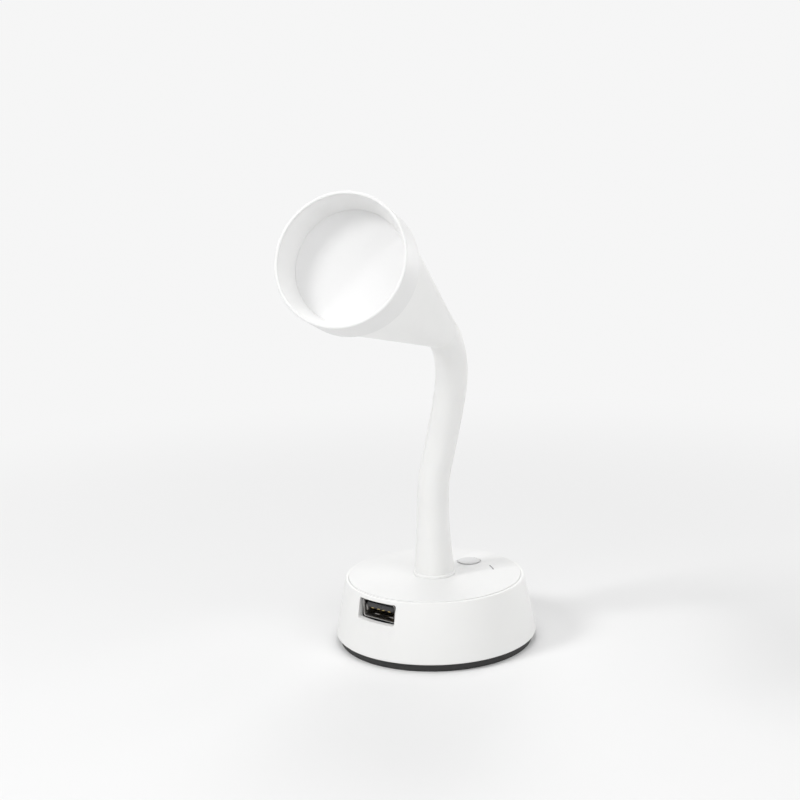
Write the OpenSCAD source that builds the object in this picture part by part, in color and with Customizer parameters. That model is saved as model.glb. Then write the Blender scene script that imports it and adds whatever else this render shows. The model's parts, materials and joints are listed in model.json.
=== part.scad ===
// Small desk reading lamp: a round base with a USB-A socket, a flexible neck and a trumpet-shaped head.
// Millimetres, +Z up. The origin is the centre of the foot pad's underside.
// The USB socket is on the -Y side.

/* [Base] */
// Radius of the base shell at its lower edge
base_bottom_r = 34; // [33.5:0.1:38]
// Radius of the base shell at its upper edge
base_top_r = 30; // [29.6:0.1:33]
// Wall of the base shell
shell_wall = 2; // [1.6:0.1:2.4]
// Height of the rubber foot pad
pad_h = 2.6; // [1.8:0.1:4]
// Distance by which the foot pad stands back from the shell's lower edge
pad_inset = 1.5; // [0.8:0.1:1.8]
// Thickness of the bottom plate
plate_t = 1.6; // [1.4:0.1:2.4]
// Gap round the bottom plate, inside the shell
plate_gap = 0.4; // [0.3:0.1:1]
// Thickness of the top cover
cover_t = 1.6; // [1.4:0.1:2]
// Height by which the top cover stands over the shell's rim
cover_proud = 0.3; // [0.1:0.1:0.4]
// Width of the shell's rim round the top cover
rim_w = 0.8; // [0.6:0.1:1.2]
// Gap of the seam round the top cover
cover_gap = 0.1; // [0.1:0.05:0.3]
// Width of the ledge that the top cover rests on
ledge_w = 2.4; // [1.6:0.1:3]
// Thickness of that ledge
ledge_t = 1.2; // [0.8:0.1:1.6]
// Radius on the shell's edges
edge_r = 0.5; // [0.2:0.1:0.6]

/* [Inside the base] */
// Gap between the ballast disc and the screw bosses
ballast_gap = 1; // [0.5:0.1:6]
// Thickness of the ballast disc
ballast_t = 3.9; // [2:0.1:6]
// Width of the flat battery cell
battery_w = 26; // [20:0.5:27]
// Length of the flat battery cell
battery_l = 38; // [25:0.5:40]
// Thickness of the flat battery cell
battery_t = 4.4; // [3:0.1:6]
// Gap over the battery cell
battery_gap = 0.3; // [0.2:0.05:1]
// Radius of the control board
board_r = 25; // [24.6:0.1:25.4]
// Thickness of the control board
board_t = 1.6; // [1:0.1:2]
// Height left over the USB socket, under the top cover
headroom = 0.5; // [0.5:0.05:2]
// Distance of the two board screws from the middle
board_screw_x = 16.5; // [16:0.1:18]
// Distance of the plate screws from the shell's lower edge
plate_screw_inset = 5.5; // [5.1:0.1:5.8]
// Radius of the screw bosses
boss_r = 2.4; // [2.2:0.1:2.6]
// Radius of the screws' shanks
screw_r = 1.1; // [0.9:0.05:1.2]
// Radius of the screws' heads
screw_head_r = 2; // [1.8:0.1:2.2]
// Height of the screws' heads
screw_head_h = 1; // [0.8:0.1:1.2]

// Distance of the small board parts from the middle, across the lamp
part_x = 8; // [7.5:0.5:9]
// Distance of the small board parts from the middle, along the lamp
part_y = 8; // [7.5:0.5:9]
// Side of the driver chip
chip_w = 5; // [3:0.5:5]
// Height of the driver chip
chip_h = 1.4; // [1:0.1:2]
// Radius of the coil
coil_r = 3; // [2:0.1:3.4]
// Height of the coil
coil_h = 2.8; // [2:0.1:4]
// Radius of each capacitor
capacitor_r = 2; // [1.5:0.1:2.2]
// Height of each capacitor
capacitor_h = 4.2; // [3:0.1:5]
// Side of the battery connector
connector_w = 4.5; // [3:0.1:5]
// Height of the battery connector
connector_h = 3.4; // [2:0.1:3.6]

/* [USB socket] */
// Outer width of the metal USB-A shell
usb_w = 13.1; // [13:0.05:13.4]
// Outer height of the metal USB-A shell
usb_h = 5.7; // [5.6:0.05:6]
// Depth of the metal USB-A shell
usb_l = 14; // [12:0.5:15]
// Sheet thickness of the metal USB-A shell
usb_wall = 0.3; // [0.25:0.05:0.4]
// Depth by which the socket stands back in its window
usb_recess = 1.5; // [0.5:0.1:1.8]
// Thickness of the plastic tongue in the socket
tongue_t = 1.84; // [1.6:0.02:2]
// Width of the plastic tongue in the socket
tongue_w = 11.1; // [10.5:0.1:11.5]
// Clearance above and below the socket in its window
window_gap = 0.5; // [0.3:0.05:0.5]
// Clearance on each side of the socket in its window
window_side = 1.1; // [0.3:0.1:1.4]
// Outer width of the charging inlet
inlet_w = 8.9; // [8:0.1:9.5]
// Outer height of the charging inlet
inlet_h = 3.2; // [2.6:0.1:3.6]
// Depth of the charging inlet
inlet_l = 7.4; // [6.5:0.1:8.5]

/* [Push button] */
// Distance of the button's centre from the top cover's edge
button_inset = 12.1; // [11:0.1:12.5]
// Angle of the button round the base, from the +X side
button_angle = 84; // [80:0.5:90]
// Radius of the button's cap
button_r = 4.2; // [3.2:0.1:4.4]
// Gap round the button's cap
button_gap = 0.2; // [0.15:0.05:0.4]
// Height by which the cap stands over the top cover
button_proud = 0.3; // [0.1:0.1:0.8]
// Travel of the button
button_travel = 0.7; // [0.4:0.1:0.9]
// Width of the collar that keeps the cap in
button_flange_w = 0.8; // [0.5:0.1:1]
// Side of the square switch body
switch_w = 6; // [5:0.1:6.2]
// Height of the switch body
switch_h = 3.5; // [3:0.1:3.8]
// Radius of the switch's plunger
plunger_r = 1.25; // [1:0.05:1.6]
// Radius of the cap's shallow dish
dish_r = 25; // [15:1:60]
// Depth of the cap's shallow dish
dish_depth = 0.15; // [0.05:0.05:0.3]
// Distance of the indicator slit from the top cover's edge
slit_inset = 9; // [8.6:0.1:10]
// Width of the indicator slit
slit_w = 0.5; // [0.4:0.1:1.2]
// Angle at which the indicator slit starts
slit_start = 45; // [38:1:50]
// Angle at which the indicator slit ends
slit_end = 59; // [54:1:62]

/* [Neck] */
// Outer radius of the silicone sleeve
sleeve_r = 5.25; // [4.9:0.05:6]
// Outer radius of the silicone sleeve where it flares at its foot
sleeve_foot_r = 6.6; // [6.2:0.05:6.7]
// Outer radius of the neck's metal core
core_r = 3.3; // [3.15:0.05:3.35]
// Clearance between the metal core and the sleeve
sleeve_gap = 0.55; // [0.5:0.05:0.7]
// Radius of the balls in the core
ball_r = 2.4; // [2.35:0.01:2.5]
// Clearance round each ball in its socket
ball_gap = 0.05; // [0.03:0.01:0.07]
// Radius of the stem under each ball
stem_r = 1.45; // [1.3:0.05:1.45]
// Radius of the bore that the lead runs in
lead_bore_r = 0.95; // [0.9:0.05:1]
// Radius of the two-core lead
lead_r = 0.55; // [0.4:0.05:0.6]
// Depth by which each socket reaches past its ball's centre
socket_lip = 0.9; // [0.8:0.05:0.95]
// Largest bend at one ball, in degrees
max_bend = 28.5; // [24:0.5:28.5]
// Length of the neck from its collar to the first ball
foot_stretch = 18.5; // [16:0.1:24]
// Distance between the balls of the lower neck
lower_pitch = 12.7; // [10:0.1:16]
// Distance between the balls of the elbow
elbow_pitch = 8; // [7.2:0.1:12]
// Radius of the collar round the neck's foot
collar_r = 7; // [6.8:0.05:9]
// Height of the collar round the neck's foot
collar_h = 1; // [0.8:0.1:2]
// Radius of the threaded foot of the neck
foot_thread_r = 4; // [3:0.1:4.4]
// Size across the corners of the foot nut
foot_nut_d = 13.8; // [12:0.1:15]
// Thickness of the foot nut
foot_nut_t = 3; // [2:0.1:3.2]
// Direction of the head from the USB socket's side, in degrees
heading = 19; // [-180:1:180]

/* [Head] */
// Length of the head from its narrow end to its rim
head_len = 88; // [80:0.5:110]
// Outer radius of the front ring
rim_r = 17; // [16:0.1:20]
// Length of the front ring
ring_len = 10.5; // [9.5:0.1:14]
// Wall of the front ring
ring_wall = 0.9; // [0.7:0.05:1.4]
// Step from the front ring down to the head shell
ring_step = 0.6; // [0.3:0.1:1]
// Wall of the head shell
head_wall = 1.6; // [1.4:0.1:2]
// Outer radius of the head shell at its narrow end
root_r = 5.8; // [5.4:0.05:6.2]
// How much faster the head opens towards its front than a plain cone, which is 1
head_opening = 1.02; // [1:0.01:1.12]
// Length of the solid root that the neck is fixed in
root_len = 10; // [8:0.5:12]
// Radius of the thread that fixes the neck in the head
head_thread_r = 2.5; // [2.2:0.1:2.8]
// Size across the corners of the head nut
head_nut_d = 9.2; // [8:0.1:9.6]
// Thickness of the head nut
head_nut_t = 3; // [2:0.1:4]
// Depth of the diffuser behind the rim
disc_depth = 7.5; // [6:0.1:8]
// Width by which the reflector's wall leans in, from its edge at the rim to the diffuser
reflector_lean = 1.4; // [1.2:0.1:2.6]
// Width of the reflector's edge at the rim
reflector_edge = 0.4; // [0.3:0.1:0.6]
// Distance by which the reflector's edge stands back from the rim
reflector_drop = 0.6; // [0.5:0.1:1.2]
// Thickness of the diffuser
diffuser_t = 1.4; // [1:0.1:2]
// Clearance of the pieces inside the front ring
ring_gap = 0.1; // [0.05:0.05:0.2]
// Thickness of the front ring's inner flange
flange_t = 1.4; // [1:0.1:1.6]
// Width by which that flange holds the diffuser
flange_hold = 2.3; // [1.5:0.1:2.6]
// Wall of that spigot
spigot_wall = 0.8; // [0.6:0.1:1]
// Thickness of the heat sink plate
sink_t = 1.5; // [1:0.1:2]
// Thickness of the LED board
led_board_t = 1; // [0.8:0.1:1.6]
// Distance of the LED board's face behind the front ring's flange
led_setback = 0.6; // [0.4:0.1:1.2]
// Side of each LED chip
led_w = 2.8; // [2:0.1:3]
// Height of each LED chip
led_h = 0.7; // [0.5:0.1:0.8]
// Number of LED chips in the ring
led_count = 8; // [6:1:8]
// Radius of the inner side of the ring of LED chips
led_ring_r = 4.2; // [4:0.1:5]
// Thickness of the ledge that carries the heat sink
seat_t = 2.5; // [2:0.1:4]
// Height of that ledge's sloping underside
seat_slope = 4; // [3:0.1:5]
// Radius of the circle of LED board screws
led_screw_r = 10.6; // [10.2:0.1:10.8]

/* [Hidden] */
$fn = 96;
// Rest pose of the neck: forward and sideways lean of each stretch, in degrees
REST_FORWARD = [0, 1.5, 0, 8, 14, 24, 37, 52, 71.5];
REST_SIDE = [0, 2, 14, 15, 14, 9.5, 4.5, 0.5, 3];
// The same small clearances are used all over
FIT = 0.05;
LINK_COUNT = 7;

// Heights in the base, stacked from the floor up
plate_top = pad_h + plate_t;
ballast_top = plate_top + ballast_t;
battery_top = ballast_top + battery_t;
board_z = battery_top + battery_gap;
board_top = board_z + board_t;
cover_z = board_top + usb_h + headroom;
base_top = cover_z + cover_t;
rim_top = base_top - cover_proud;
shell_h = base_top - pad_h;
cover_r = base_top_r - rim_w - cover_gap;
ledge_r = cover_r + cover_gap - ledge_w;
collar_top = base_top + collar_h;
window_r = shell_r(board_top + usb_h / 2);
usb_front = window_r - usb_recess;
inlet_front = shell_r(board_top + inlet_h / 2) - usb_recess;
switch_top = board_top + switch_h;
flange_z = cover_z - 0.3;
plate_r = shell_r(plate_top) - shell_wall - plate_gap;
plate_screw_r = base_bottom_r - plate_screw_inset;
ballast_r = plate_screw_r - boss_r - ballast_gap;
button_ring_r = cover_r - button_inset;
slit_r = cover_r - slit_inset;

// Neck and head
sleeve_bore = core_r + sleeve_gap;
socket_r = ball_r + ball_gap;
stem_l = socket_lip * cos(max_bend) + core_r * sin(max_bend) + 0.25;
STRETCH = concat([foot_stretch], [for (i = [1:3]) lower_pitch], [(lower_pitch + elbow_pitch) / 2],
                 [for (i = [1:4]) elbow_pitch]);
root_z = elbow_pitch / 2;
cavity_z = root_z + root_len;
rim_z = root_z + head_len;
ring_z = rim_z - ring_len;
disc_z = rim_z - disc_depth;
flange_top = disc_z - diffuser_t;
pocket_r = rim_r - ring_wall;
show_r = pocket_r - ring_gap;
disc_show_r = show_r - reflector_lean;
mouth_r = rim_r - ring_step;
led_face = flange_top - flange_t - led_setback;
sink_top = led_face - led_board_t;
sink_z = sink_top - sink_t;
seat_z = sink_z - seat_t;
spigot_z = sink_z + ring_gap;
spigot_r = head_inner_r(spigot_z) - ring_gap;
sink_r = spigot_r - spigot_wall - 2 * ring_gap;

// Outer radius of the base shell at a height
function shell_r(z) = base_bottom_r - (base_bottom_r - base_top_r) * (z - pad_h) / shell_h;

// Outer and inner radius of the head shell at a distance along the head: a trumpet that opens a little faster
// towards its front
function head_outer_r(z) =
    root_r + (mouth_r - root_r) * pow(max(0, z - root_z) / (ring_z - root_z), head_opening);
function head_inner_r(z) = head_outer_r(z) - head_wall;

// Points of an arc
function arc(x, y, r, from, to, steps = 6) =
    [for (i = [0:steps]) let (a = from + (to - from) * i / steps) [x + r * cos(a), y + r * sin(a)]];

// Direction of a stretch of the neck, in the neck's own frame: forward is -Y
function direction(k) =
    [sin(REST_SIDE[k]), -cos(REST_SIDE[k]) * sin(REST_FORWARD[k]), cos(REST_SIDE[k]) * cos(REST_FORWARD[k])];
// Start of a stretch: the collar's top for the first, and a ball's centre for each of the others
function start(k) = k == 0 ? [0, 0, collar_top] : start(k - 1) + direction(k - 1) * STRETCH[k - 1];
// The next stretch's direction, seen from a stretch's own frame
function turned(k) =
    let (d = direction(k + 1), f = REST_FORWARD[k], s = REST_SIDE[k],
         y = d[1] * cos(f) + d[2] * sin(f), z = d[2] * cos(f) - d[1] * sin(f))
    [d[0] * cos(s) - z * sin(s), y, d[0] * sin(s) + z * cos(s)];

// Places its children in the frame of a stretch of the neck, with +Z along it
module on_stretch(k)
    rotate([0, 0, heading]) translate(start(k)) rotate([REST_FORWARD[k], 0, 0]) rotate([0, REST_SIDE[k], 0])
        children();

module ring(r_out, r_in, h)
    difference() {
        cylinder(r = r_out, h = h);
        translate([0, 0, -1]) cylinder(r = r_in, h = h + 2);
    }

module tube_face(r_out, r_in)
    difference() {
        circle(r = r_out);
        if (r_in > 0) circle(r = r_in);
    }

// A smooth bent tube across ball k, reaching half a pitch to either side of it
function reach(k) = k <= 4 ? lower_pitch / 2 : elbow_pitch / 2;

module bent_tube(k, r_out, r_in) {
    e = turned(k - 1);
    kink = acos(min(1, e[2]));
    bend = kink > 0.2 ? reach(k) / tan(kink / 2) : 0;
    on_stretch(k - 1) translate([0, 0, STRETCH[k - 1] - reach(k)])
        if (kink > 0.2)
            rotate([0, 0, atan2(e[1], e[0])]) translate([bend, 0, 0])
                rotate([90, 0, 0]) rotate([0, 0, 180 - kink])
                    rotate_extrude(angle = kink) translate([bend, 0]) tube_face(r_out, r_in);
        else
            linear_extrude(2 * reach(k)) tube_face(r_out, r_in);
}

// Ball and stem at the upper end of a core stretch
module ball_end(len) {
    translate([0, 0, len - stem_l - 0.01]) cylinder(r = stem_r, h = stem_l);
    translate([0, 0, len]) sphere(r = ball_r);
}

// Socket at the lower end of a core stretch
module socket_end(len)
    difference() {
        translate([0, 0, -socket_lip]) cylinder(r = core_r, h = len + socket_lip);
        sphere(r = socket_r);
    }

// Flared mouth of the lead's bore in a ball, so that the lead isn't pinched when the ball turns
module ball_mouth(z)
    translate([0, 0, z])
        cylinder(r1 = lead_bore_r, r2 = lead_bore_r + ball_r * tan(max_bend), h = ball_r + 0.2);

module lead_bore(from, to)
    translate([0, 0, from]) cylinder(r = lead_bore_r, h = to - from);

// ---- Base ----

module foot_pad()
    color("dimgray") cylinder(r = base_bottom_r - pad_inset, h = pad_h);

function plate_screw_angles() = [45, 135, 225, 315];

module bottom_plate()
    color("black") translate([0, 0, pad_h]) difference() {
        cylinder(r = plate_r, h = plate_t);
        for (a = plate_screw_angles()) rotate([0, 0, a]) translate([plate_screw_r, 0, -1]) {
            cylinder(r = screw_r + FIT, h = plate_t + 2);
            cylinder(r = screw_head_r + FIT, h = 1 + screw_head_h);
        }
    }

screw_l = 6.5;
boss_h = screw_l + 1;

module screw()
    union() {
        cylinder(r = screw_head_r, h = screw_head_h);
        cylinder(r = screw_r, h = screw_head_h + screw_l);
    }

module plate_screws()
    color("silver") for (a = plate_screw_angles())
        rotate([0, 0, a]) translate([plate_screw_r, 0, pad_h]) screw();

module ballast_disc()
    color("gray") translate([0, 0, plate_top]) cylinder(r = ballast_r, h = ballast_t);

module shell_profile() {
    top = rim_top;
    under = cover_z - ledge_t;
    polygon(concat(
        [[shell_r(pad_h) - shell_wall, pad_h], [base_bottom_r - edge_r, pad_h]],
        arc(shell_r(pad_h + edge_r) - edge_r, pad_h + edge_r, edge_r, -90, 0),
        arc(shell_r(top - edge_r) - edge_r, top - edge_r, edge_r, 0, 80),
        [[cover_r + cover_gap, top], [cover_r + cover_gap, cover_z], [ledge_r, cover_z], [ledge_r, under],
         [shell_r(under - ledge_w) - shell_wall, under - ledge_w]]));
}

// Posts moulded inside the shell, which take the plate screws. They are cut to the shell's inner wall.
module screw_bosses()
    color("white") difference() {
        intersection() {
            for (a = plate_screw_angles()) rotate([0, 0, a]) translate([plate_screw_r, 0, plate_top])
                cylinder(r = boss_r, h = boss_h);
            translate([0, 0, pad_h])
                cylinder(r1 = base_bottom_r - shell_wall, r2 = base_top_r - shell_wall, h = shell_h);
        }
        for (a = plate_screw_angles()) rotate([0, 0, a]) translate([plate_screw_r, 0, plate_top - 1])
            cylinder(r = screw_r + FIT, h = screw_l + 1.2);
    }

module usb_window()
    translate([-usb_w / 2 - window_side, -base_bottom_r - 1, board_top - window_gap])
        cube([usb_w + 2 * window_side, base_bottom_r - usb_front + usb_l + 1, usb_h + 2 * window_gap]);

module inlet_face(grow)
    for (s = [-1, 1]) translate([s * (inlet_w - inlet_h) / 2, 0]) circle(r = inlet_h / 2 + grow);

// Rounded slot of the charging inlet, standing upright with its length along +Z
module inlet_slot(grow, len)
    linear_extrude(len) union() {
        inlet_face(grow);
        square([inlet_w - inlet_h, inlet_h + 2 * grow], center = true);
    }

// Places its children on the inlet's axis, at its mouth, with +Z pointing out of the base on the -X side
module on_inlet(x)
    translate([-x, 0, board_top + inlet_h / 2]) rotate([0, -90, 0]) rotate([0, 0, 90]) children();

module base_shell()
    color("white") difference() {
        rotate_extrude() shell_profile();
        usb_window();
        on_inlet(inlet_front - inlet_l) inlet_slot(window_gap, inlet_l + usb_recess + 4);
    }

// Places its children under or on the button's centre at a height
module on_button(z) rotate([0, 0, button_angle]) translate([button_ring_r, 0, z]) children();

cover_skirt_h = 2;
cover_skirt_w = 1;

module slit(w, z, h, spare)
    translate([0, 0, z]) rotate([0, 0, slit_start - spare])
        rotate_extrude(angle = slit_end - slit_start + 2 * spare)
            translate([slit_r - w / 2, 0]) square([w, h]);

module top_cover()
    color("white") difference() {
        union() {
            translate([0, 0, cover_z]) rotate_extrude() polygon(concat(
                [[0, 0], [cover_r, 0]], arc(cover_r - 0.3, cover_t - 0.3, 0.3, 0, 90), [[0, cover_t]]));
            difference() {
                translate([0, 0, cover_z - cover_skirt_h])
                    ring(ledge_r - cover_gap, ledge_r - cover_gap - cover_skirt_w, cover_skirt_h + 0.1);
                usb_window();
            }
            for (s = [-1, 1]) translate([s * board_screw_x, 0, board_top])
                cylinder(r = boss_r, h = cover_z - board_top + 0.1);
        }
        translate([0, 0, cover_z - 1]) cylinder(r = foot_thread_r + FIT, h = cover_t + 2);
        on_button(cover_z - 1) cylinder(r = button_r + button_gap, h = cover_t + 2);
        slit(slit_w + 2 * FIT, cover_z - 1, cover_t + 2, 0.15);
        for (s = [-1, 1]) translate([s * board_screw_x, 0, board_top - 1])
            cylinder(r = screw_r + FIT, h = 1 + board_screw_l - board_t + 0.2);
    }

board_screw_l = 5;

module battery_cell()
    color("lightsteelblue") translate([-battery_w / 2, -battery_l / 2, ballast_top])
        cube([battery_w, battery_l, battery_t]);

module control_board()
    color("darkgreen") translate([0, 0, board_z]) difference() {
        cylinder(r = board_r, h = board_t);
        for (s = [-1, 1]) translate([s * board_screw_x, 0, -1]) cylinder(r = screw_r + FIT, h = board_t + 2);
    }

// Driver chip, coil, two capacitors, battery connector and indicator LED, all soldered on the board
module board_parts()
    color("dimgray") translate([0, 0, board_top]) {
        translate([part_x, -part_y - chip_w, 0]) cube([chip_w, chip_w, chip_h]);
        translate([-part_x - coil_r, -part_y - coil_r, 0]) cylinder(r = coil_r, h = coil_h);
        for (i = [0, 1])
            translate([-part_x - i * (2 * capacitor_r + 1), part_y + capacitor_r * (1 + 2 * i), 0])
                cylinder(r = capacitor_r, h = capacitor_h);
        translate([part_x, part_y - connector_w, 0]) cube([connector_w, connector_w, connector_h]);
        rotate([0, 0, (slit_start + slit_end) / 2]) translate([slit_r - slit_w, -slit_w * 2, 0])
            cube([slit_w * 2, slit_w * 4, slit_w]);
    }

module board_screws()
    color("silver") for (s = [-1, 1])
        translate([s * board_screw_x, 0, board_z - screw_head_h]) {
            cylinder(r = screw_head_r, h = screw_head_h);
            cylinder(r = screw_r, h = screw_head_h + board_screw_l);
        }

// Folded sheet-metal shell, open at its mouth
module usb_shell()
    color("silver") translate([-usb_w / 2, -usb_front, board_top]) difference() {
        cube([usb_w, usb_l, usb_h]);
        translate([usb_wall, -1, usb_wall]) cube([usb_w - 2 * usb_wall, usb_l + 1 - 2, usb_h - 2 * usb_wall]);
    }

tongue_back = 2;
tongue_front = 0.8;
tongue_z = board_top + usb_h - usb_wall - 0.6 - tongue_t;

// The tongue hangs in the upper half of the socket, from the plastic block at its back
module usb_tongue()
    color("gray") translate([0, -usb_front, board_top]) {
        translate([-usb_w / 2 + usb_wall + FIT, usb_l - 2 * tongue_back - FIT, usb_wall + FIT])
            cube([usb_w - 2 * usb_wall - 2 * FIT, tongue_back, usb_h - 2 * usb_wall - 2 * FIT]);
        translate([-tongue_w / 2, tongue_front, tongue_z - board_top])
            cube([tongue_w, usb_l - 2 * tongue_back - tongue_front, tongue_t]);
    }

module usb_contacts()
    color("gold") for (x = [-3.5, -1, 1, 3.5])
        translate([x - 0.5, -usb_front + tongue_front + 0.7, tongue_z - 0.2]) cube([1, 8, 0.2]);

module inlet_shell()
    color("silver") on_inlet(inlet_front - inlet_l) difference() {
        inlet_slot(0, inlet_l);
        translate([0, 0, 1]) inlet_slot(-0.3, inlet_l);
    }

module inlet_tongue()
    color("dimgray") on_inlet(inlet_front - inlet_l) translate([0, 0, 1]) union() {
        inlet_slot(-0.35, 1.5);
        translate([-(inlet_w - 2.3) / 2, -0.35, 0]) cube([inlet_w - 2.3, 0.7, inlet_l - 2]);
    }

plunger_z = switch_top - 0.9;
plunger_top = switch_top + button_travel + 0.15;

module switch_body()
    color("dimgray") difference() {
        on_button(board_top) translate([-switch_w / 2, -switch_w / 2, 0])
            cube([switch_w, switch_w, switch_h]);
        on_button(plunger_z - button_travel - 0.2) cylinder(r = plunger_r + FIT, h = switch_h);
    }

module switch_plunger()
    color("black") on_button(plunger_z) cylinder(r = plunger_r, h = plunger_top - plunger_z);

// Cap with a slightly dished top, a collar under the top cover and a stem that meets the plunger
module button_cap()
    color("lightgray") on_button(0) difference() {
        union() {
            rotate_extrude() polygon(concat(
                [[0, flange_z - 0.1], [button_r, flange_z - 0.1]],
                arc(button_r - 0.4, base_top + button_proud - 0.4, 0.4, 0, 90),
                [[0, base_top + button_proud]]));
            translate([0, 0, flange_z - 0.8]) cylinder(r = button_r + button_flange_w, h = 0.8);
            translate([0, 0, plunger_top]) cylinder(r = 1.6, h = flange_z - plunger_top);
        }
        translate([0, 0, base_top + button_proud + dish_r - dish_depth]) sphere(r = dish_r);
    }

module indicator_window()
    color("gray") slit(slit_w, cover_z - 0.8, cover_t + 0.8, 0);

// ---- Neck ----

// Threaded foot of the neck's core, with its flange on the top cover and the first ball at its upper end
module foot_fitting()
    color("silver") difference() {
        union() {
            translate([0, 0, cover_z - foot_nut_t - 1])
                cylinder(r = foot_thread_r, h = cover_t + foot_nut_t + 1);
            translate([0, 0, base_top]) cylinder(r = foot_thread_r + 1, h = collar_h);
            translate([0, 0, collar_top - 0.1]) cylinder(r = core_r, h = foot_stretch - stem_l + 0.1);
            translate([0, 0, collar_top]) ball_end(foot_stretch);
        }
        lead_bore(cover_z - foot_nut_t - 2, collar_top + foot_stretch + 0.01);
        ball_mouth(collar_top + foot_stretch);
    }

module foot_nut()
    color("silver") translate([0, 0, cover_z - foot_nut_t]) difference() {
        cylinder(d = foot_nut_d, h = foot_nut_t, $fn = 6);
        translate([0, 0, -1]) cylinder(r = foot_thread_r + FIT, h = foot_nut_t + 2);
    }

module neck_collar()
    color("white") translate([0, 0, base_top]) difference() {
        rotate_extrude() polygon(concat(
            [[foot_thread_r + 1 + FIT, 0], [collar_r, 0]],
            arc(collar_r - 0.4, collar_h - 0.4, 0.4, 0, 90), [[foot_thread_r + 1 + FIT, collar_h]]));
    }

// Foot of the sleeve: it flares out towards the collar
module sleeve_foot() {
    len = foot_stretch - reach(1);
    color("whitesmoke") translate([0, 0, collar_top]) rotate_extrude() polygon(concat(
        [[sleeve_bore, 0]],
        [for (i = [0:10]) let (u = i / 10)
            [sleeve_r + (sleeve_foot_r - sleeve_r) * pow(1 - u, 1.6), len * u]],
        [[sleeve_bore, len]]));
}

// One stiff length of the neck's core, from the socket on one ball to the next ball
module core_link(k)
    color("silver") on_stretch(k) difference() {
        union() {
            socket_end(STRETCH[k] - stem_l);
            ball_end(STRETCH[k]);
        }
        lead_bore(0, STRETCH[k] + 0.01);
        ball_mouth(STRETCH[k]);
    }

module sleeve_bend(k)
    color("whitesmoke") bent_tube(k, sleeve_r, sleeve_bore);

// The lead, in one piece from the control board through the neck to the LED board, bent at each ball
module lamp_lead()
    color("ivory") union() {
        translate([0, 0, board_top]) cylinder(r = lead_r, h = collar_top + foot_stretch - board_top);
        for (k = [1:8]) on_stretch(k) {
            sphere(r = lead_r + 0.04);
            cylinder(r = lead_r, h = k == 8 ? sink_top : STRETCH[k]);
        }
    }

// ---- Head: its frame is that of the neck's last stretch, with the last ball at its origin ----

module head_fitting()
    color("silver") on_stretch(8) difference() {
        union() {
            socket_end(root_z + root_len / 2);
            translate([0, 0, root_z + root_len / 2 - 0.1])
                cylinder(r = head_thread_r, h = root_len / 2 + head_nut_t + 1.1);
        }
        lead_bore(0, root_z + root_len + head_nut_t + 2);
    }

module head_nut()
    color("silver") on_stretch(8) translate([0, 0, root_z + root_len]) difference() {
        cylinder(d = head_nut_d, h = head_nut_t, $fn = 6);
        translate([0, 0, -1]) cylinder(r = head_thread_r + FIT, h = head_nut_t + 2);
    }

led_screw_angles = [0, 120, 240];

module head_shell()
    color("white") on_stretch(8) difference() {
        rotate_extrude() polygon(concat(
            [[core_r + FIT, root_z]],
            [for (i = [0:20]) let (z = root_z + (ring_z - root_z) * i / 20) [head_outer_r(z), z]],
            [[head_inner_r(ring_z), ring_z], [head_inner_r(sink_z), sink_z], [led_screw_r - 1.8, sink_z],
             [led_screw_r - 1.8, seat_z], [head_inner_r(seat_z - seat_slope), seat_z - seat_slope]],
            [for (i = [8:-1:0]) let (z = cavity_z + (seat_z - seat_slope - 1 - cavity_z) * i / 8)
                [head_inner_r(z), z]],
            [[head_thread_r + FIT, cavity_z], [head_thread_r + FIT, root_z + root_len / 2],
             [core_r + FIT, root_z + root_len / 2]]));
        for (a = led_screw_angles) rotate([0, 0, a])
            translate([led_screw_r, 0, sink_z - led_screw_bite - 0.2])
                cylinder(r = 0.8 + FIT, h = led_screw_bite + 1);
    }

led_screw_bite = 1.8;

// Front ring: it surrounds the diffuser and the reflector, and its spigot goes into the head shell
module front_ring()
    color("white") on_stretch(8) rotate_extrude() polygon(concat(
        [[rim_r - 0.3, ring_z], [rim_r, ring_z + 0.3]],
        arc(rim_r - ring_wall / 2, rim_z - ring_wall / 2, ring_wall / 2, 0, 180, 8),
        [[pocket_r, flange_top], [pocket_r - flange_hold, flange_top],
         [pocket_r - flange_hold, flange_top - flange_t], [spigot_r - spigot_wall, flange_top - flange_t],
         [spigot_r - spigot_wall, spigot_z], [spigot_r, spigot_z], [spigot_r, ring_z]]));

// White conical wall between the rim and the diffuser
module reflector()
    color("white") on_stretch(8) translate([0, 0, disc_z]) rotate_extrude() polygon(
        [[disc_show_r, 0], [show_r, 0], [show_r, disc_depth - reflector_drop],
         [show_r - reflector_edge, disc_depth - reflector_drop]]);

module diffuser()
    color("white") on_stretch(8) translate([0, 0, flange_top]) cylinder(r = show_r, h = diffuser_t);

led_board_r = sink_r - 0.3;

module led_board()
    color("ghostwhite") on_stretch(8) translate([0, 0, sink_top]) difference() {
        cylinder(r = led_board_r, h = led_board_t);
        for (a = led_screw_angles) rotate([0, 0, a]) translate([led_screw_r, 0, -1])
            cylinder(r = 0.8 + FIT, h = led_board_t + 2);
    }

module led_chips()
    color("gold") on_stretch(8) translate([0, 0, led_face]) {
        for (i = [0:led_count - 1]) rotate([0, 0, 360 / led_count * i])
            translate([led_ring_r, -led_w / 2, 0]) cube([led_w, led_w, led_h]);
        translate([-led_w / 2, -led_w / 2, 0]) cube([led_w, led_w, led_h]);
    }

module heat_sink()
    color("silver") on_stretch(8) translate([0, 0, sink_z]) difference() {
        cylinder(r = sink_r, h = sink_t);
        translate([0, 0, -1]) cylinder(r = lead_bore_r, h = sink_t + 2);
        for (a = led_screw_angles) rotate([0, 0, a]) translate([led_screw_r, 0, -1])
            cylinder(r = 0.8 + FIT, h = sink_t + 2);
    }

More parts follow.
